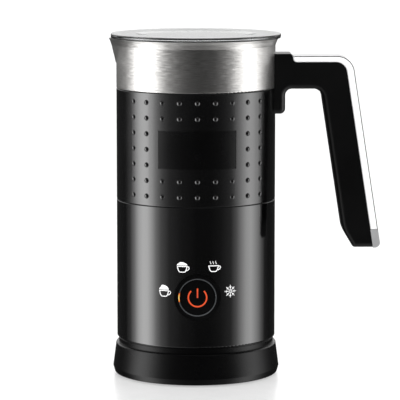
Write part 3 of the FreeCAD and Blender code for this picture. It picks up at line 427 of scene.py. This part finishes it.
def shifted(points, x, z):
    return [(px * MM + x, pz * MM + z) for px, pz in points]


LINE = 0.5 * MM
CUP_RIM = 0.75


def add_cup(surface, x, z, brim):
    """A cup in outline: a bowl with bevelled sides and a pointed handle on its right."""
    foot = [(-2.35, -1.35), (-1.8, -2.3), (-1.25, -2.6), (1.25, -2.6), (1.8, -2.3), (2.35, -1.35)]
    bowl = [(-2.9, CUP_RIM)] + foot + [(2.9, CUP_RIM)]
    add_ribbon(surface, shifted(bowl, x, z), LINE)
    ear = [(2.75, CUP_RIM - 0.05), (3.75, CUP_RIM - 0.25), (4.2, -0.3), (3.75, -1.15), (2.4, -1.85)]
    add_ribbon(surface, shifted(ear, x, z), LINE * 0.95)
    if brim:
        add_ribbon(surface, shifted([(-3.1, CUP_RIM), (3.1, CUP_RIM)], x, z), LINE)


def foam_cup(name, x, z, height):
    """A cup under a heap of foam whose peak leans to the left."""
    surface = bmesh.new()
    add_cup(surface, x, z, True)
    floor = CUP_RIM + 0.6
    heap = [(-3.1, 0.12), (-3.0, 0.6), (-2.6, 1.0)]
    heap += [(-2.1, height * 0.55), (-1.7, height * 0.86), (-1.0, height)]
    heap += [(-0.2, height), (0.9, height * 0.9), (1.9, height * 0.7), (2.7, height * 0.42), (3.1, 0.12)]
    add_heap(surface, [(px, floor + pz) for px, pz in heap], floor, x, z)
    return piece(name, surface, "white_nylon", "jug", material=PRINT_WHITE)


def steam_cup(name, x, z):
    surface = bmesh.new()
    add_cup(surface, x, z, True)
    for offset in (-1.55, 0.05, 1.65):
        wave = [(offset - 0.5, 3.5), (offset - 0.45, 2.9), (offset - 0.15, 2.3), (offset - 0.05, 1.7)]
        add_ribbon(surface, shifted(wave, x, z), LINE * 0.6)
    return piece(name, surface, "white_nylon", "jug", material=PRINT_WHITE)


def snowflake(name, x, z):
    surface = bmesh.new()
    for k in range(8):
        turn = TAU * k / 8
        out = Vector((math.cos(turn), math.sin(turn)))
        side = Vector((-out.y, out.x))
        stem = [out * 0.45, out * 3.7]
        add_ribbon(surface, shifted([tuple(p) for p in stem], x, z), LINE * 0.64)
        fork = out * 2.0
        barb = [fork + out * 0.75 + side * 0.72, fork, fork + out * 0.75 - side * 0.72]
        add_ribbon(surface, shifted([tuple(p) for p in barb], x, z), LINE * 0.55)
    return piece(name, surface, "white_nylon", "jug", material=PRINT_WHITE)


def print_symbols():
    foam_cup("symbol_dense_foam", -20.15 * MM, DIAL_HEIGHT + 2.85 * MM, 2.75)
    foam_cup("symbol_light_foam", -9.0 * MM, DIAL_HEIGHT + 17.6 * MM, 1.95)
    steam_cup("symbol_hot_milk", 9.5 * MM, DIAL_HEIGHT + 17.9 * MM)
    snowflake("symbol_cold_foam", 19.9 * MM, DIAL_HEIGHT + 3.1 * MM)


# ---- Whisk ---------------------------------------------------------------------------

COIL_WIRE = 0.35 * MM
COIL_TURNS = 44
COIL_STEPS = 12


def wound_coil():
    """The whisk's spring wire, wound round its ring."""
    ring = (COIL_HIGH.x - COIL_LOW.x) / 2
    height = (COIL_HIGH.z + COIL_LOW.z) / 2
    winding = (COIL_HIGH.z - COIL_LOW.z) / 2 - COIL_WIRE
    middle = ring - winding - COIL_WIRE
    path = []
    for k in range(COIL_TURNS * COIL_STEPS):
        along = TAU * k / (COIL_TURNS * COIL_STEPS)
        around = TAU * k / COIL_STEPS
        radius = middle + winding * math.cos(around)
        lift = height + winding * math.sin(around)
        path.append(Vector((radius * math.cos(along), radius * math.sin(along), lift)))
    surface = bmesh.new()
    add_tube(surface, path, COIL_WIRE, 8)
    piece("whisk_spring", surface, "satin_metal", "whisk", ["whisk_coil"])


# ---- Trim ----------------------------------------------------------------------------

# The strip's edge lines are black: real parting seams, darkened with painted shade of their grooves.
TRIM_SHADE_LINE = 0.27 * MM
# The lid's edge rings are painted shade: black rings where the clear edge only shows dark lines of inner
# reflection.
LID_SHADE_LINE = 0.38 * MM
LID_SHADE_INSET = 0.4 * MM
LID_SHADE_DROPS = {"lid_upper_shade_line": 0.48 * MM, "lid_lower_shade_line": 2.15 * MM}
TRIM_SLOPE = 0.155
TRIM_CORNER = 10.5 * MM
TRIM_INSET = 0.35 * MM
TRIM_LOW, TRIM_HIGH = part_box("handle_trim")


def ring_path(radius, height, steps=128):
    turns = [TAU * k / steps for k in range(steps)]
    return [Vector((radius * math.cos(turn), radius * math.sin(turn), height)) for turn in turns]


def lid_shade_lines():
    """Painted shade: two thin black rings round the clear lid's edge, where the clear edge only shows dark
    lines of inner reflection.
    """
    for name, drop in LID_SHADE_DROPS.items():
        surface = bmesh.new()
        add_tube(surface, ring_path(LID_HIGH.y - LID_SHADE_INSET, LID_HIGH.z - drop), LID_SHADE_LINE)
        piece(name, surface, "black_silicone", "lid")


def trim_line():
    """The outer line of the handle's strip as (x, z): along the top, round the corner and down."""
    top = TRIM_HIGH.z - TRIM_INSET
    low = Vector((TRIM_HIGH.x - TRIM_INSET, TRIM_LOW.z))
    corner = Vector((low.x - (top - low.y) * TRIM_SLOPE, top))
    inward = Vector((-1, 0))
    down = (low - corner).normalized()
    radius = TRIM_CORNER - TRIM_INSET
    half = inward.angle(down) / 2
    centre = corner + (inward + down).normalized() * radius / math.sin(half)
    sweep = math.pi - 2 * half
    arc = [math.pi / 2 - sweep * k / 16 for k in range(17)]
    bend = [centre + Vector((math.cos(turn), math.sin(turn))) * radius for turn in arc]
    return [Vector((TRIM_LOW.x + 2 * TRIM_INSET, top))] + bend + [low]


def trim_shade_lines():
    """Black lines along the two outer edges of the strip: real parting seams whose darkness is painted
    shade of their grooves.
    """
    for name, side in (("trim_shade_line_front", -1), ("trim_shade_line_back", 1)):
        depth = side * (TRIM_HIGH.y - TRIM_INSET)
        surface = bmesh.new()
        add_tube(surface, [Vector((x, depth, z)) for x, z in trim_line()], TRIM_SHADE_LINE, 8, False)
        piece(name, surface, "black_silicone", "jug")


# ---- Studio --------------------------------------------------------------------------

WALL_LEVEL = 5.0
SWEEP_LEVEL = 1.12
ROOF_LEVEL = 0.35
# Brightness round the studio at the height of the jug, by degrees from the front.
WALLS = [
    (-180, 0.03), (-124, 0.04), (-112, 0.26), (-102, 1.25), (-92, 3.5), (-84, 4.5), (-76, 4.5), (-69, 3.3),
    (-61, 1.5), (-53, 0.66), (-40, 0.2), (-22, 0.08), (0, 0.03), (20, 0.03), (36, 0.07), (51, 0.2),
    (60, 0.75), (68, 1.8), (77, 3.0), (86, 3.3), (97, 1.95), (109, 0.6), (118, 0.08), (130, 0.03),
    (180, 0.03),
]


def height_of(degrees):
    return math.sin(math.radians(degrees))


def studio_walls():
    """Two tall side lights, a dark front and a bright sweep above the back."""
    world = bpy.data.worlds.new("studio")
    bpy.context.scene.world = world
    world.use_nodes = True
    w = Tree(world.node_tree)
    where = w.add("ShaderNodeTexCoord")
    parts = w.add("ShaderNodeSeparateXYZ")
    w.feed(where.outputs["Generated"], parts.inputs["Vector"])
    east, north, up = (parts.outputs[axis] for axis in "XYZ")
    round_turn = w.maths("ARCTAN2", east, w.maths("MULTIPLY", north, -1.0))
    place = w.span(round_turn, (-math.pi, math.pi))
    stops = [((angle + 180) / 360, (level / WALL_LEVEL,) * 3) for angle, level in WALLS]
    walls = w.maths("MULTIPLY", w.ramp(place, stops), WALL_LEVEL)
    low = w.span(up, (height_of(-58), height_of(-34)), smooth=True)
    high = w.span(up, (height_of(20), height_of(38)), (1.0, 0.0), smooth=True)
    walls = w.maths("MULTIPLY", walls, w.maths("MULTIPLY", low, high))
    back = w.span(north, (0.25, 0.65), smooth=True)
    above = w.span(up, (0.0, 0.09), smooth=True)
    sweep = w.maths("MULTIPLY", w.maths("MULTIPLY", back, above), SWEEP_LEVEL)
    roof = w.span(up, (0.55, 0.95), (0.0, ROOF_LEVEL), smooth=True)
    aside = w.span(w.maths("ABSOLUTE", east), (0.0, 0.7), (0.28, 0.9), smooth=True)
    below = w.span(up, (height_of(-62), height_of(-30)), (1.0, 0.0), smooth=True)
    ground = w.maths("MULTIPLY", below, aside)
    level = w.maths("ADD", w.maths("ADD", walls, sweep), w.maths("ADD", roof, ground))
    path = w.add("ShaderNodeLightPath")
    seen = w.maths("MAXIMUM", path.outputs["Is Camera Ray"], path.outputs["Is Transmission Ray"])
    pick = w.add("ShaderNodeMix", data_type="FLOAT")
    w.feed(seen, pick.inputs["Factor"])
    w.feed(level, pick.inputs["A"])
    pick.inputs["B"].default_value = 1.0
    background = w.add("ShaderNodeBackground")
    background.inputs["Color"].default_value = (1, 1, 1, 1)
    w.feed(pick.outputs["Result"], background.inputs["Strength"])
    output = w.add("ShaderNodeOutputWorld")
    w.feed(background.outputs["Background"], output.inputs["Surface"])


def area_light(name, position, target, size, power):
    data = bpy.data.lights.new(name, "AREA")
    data.shape = "RECTANGLE"
    data.size, data.size_y = size
    data.energy = power
    lamp = bpy.data.objects.new(name, data)
    lamp.location = position
    aim = Vector(target) - Vector(position)
    lamp.rotation_euler = aim.to_track_quat("-Z", "Y").to_euler()
    lamp.visible_glossy = False
    lamp.visible_camera = False
    bpy.context.scene.collection.objects.link(lamp)


TABLE_RADIUS = 9.0
TABLE_GAP = 0.3 * MM


def table_top():
    """A pale, faintly glossy table."""
    surface = bmesh.new()
    bmesh.ops.create_circle(surface, cap_ends=True, segments=96, radius=TABLE_RADIUS)
    mesh = bpy.data.meshes.new("table")
    surface.to_mesh(mesh)
    surface.free()
    table = bpy.data.objects.new("table", mesh)
    table.location.z = -TABLE_GAP
    bpy.context.scene.collection.objects.link(table)
    table.visible_glossy = False
    m = Finish("pale table", Specular_IOR_Level=0.7)
    grain = m.noise(m.place(), 90.0, 3.0)
    m.set(Base_Color=m.ramp(grain, [(0.3, (0.72, 0.72, 0.72)), (0.7, (0.74, 0.74, 0.74))]))
    m.set(Roughness=m.span(grain, NOISE_RANGE, (0.24, 0.27)))
    m.set(Emission_Color=(1, 1, 1, 1), Emission_Strength=0.4)
    table.data.materials.append(m.material)


LENS = 223.8
SENSOR = 36
CAMERA_AWAY = 1.483
CAMERA_HEIGHT = 0.2955
CAMERA_SHIFT = 2.46 * MM
CAMERA_TURN = math.radians(-1.2)
CAMERA_PITCH = math.radians(7.34)


def camera():
    data = bpy.data.cameras.new("camera")
    data.lens = LENS
    data.sensor_width = SENSOR
    data.clip_end = 50
    view = bpy.data.objects.new("camera", data)
    ahead = Vector((-math.sin(CAMERA_TURN), math.cos(CAMERA_TURN), 0))
    aside = Vector((math.cos(CAMERA_TURN), math.sin(CAMERA_TURN), 0))
    view.location = aside * CAMERA_SHIFT - ahead * CAMERA_AWAY + Vector((0, 0, CAMERA_HEIGHT))
    view.rotation_euler = (math.pi / 2 - CAMERA_PITCH, 0, CAMERA_TURN)
    bpy.context.scene.collection.objects.link(view)
    bpy.context.scene.camera = view


def studio():
    bpy.context.scene.view_settings.view_transform = "Standard"
    studio_walls()
    area_light("front_fill", (0.25, -1.7, 0.75), (0, 0, 0.1), (1.6, 1.2), 34)
    table_top()
    camera()


dress_cad_nodes()
print_symbols()
wound_coil()
lid_shade_lines()
trim_shade_lines()
studio()
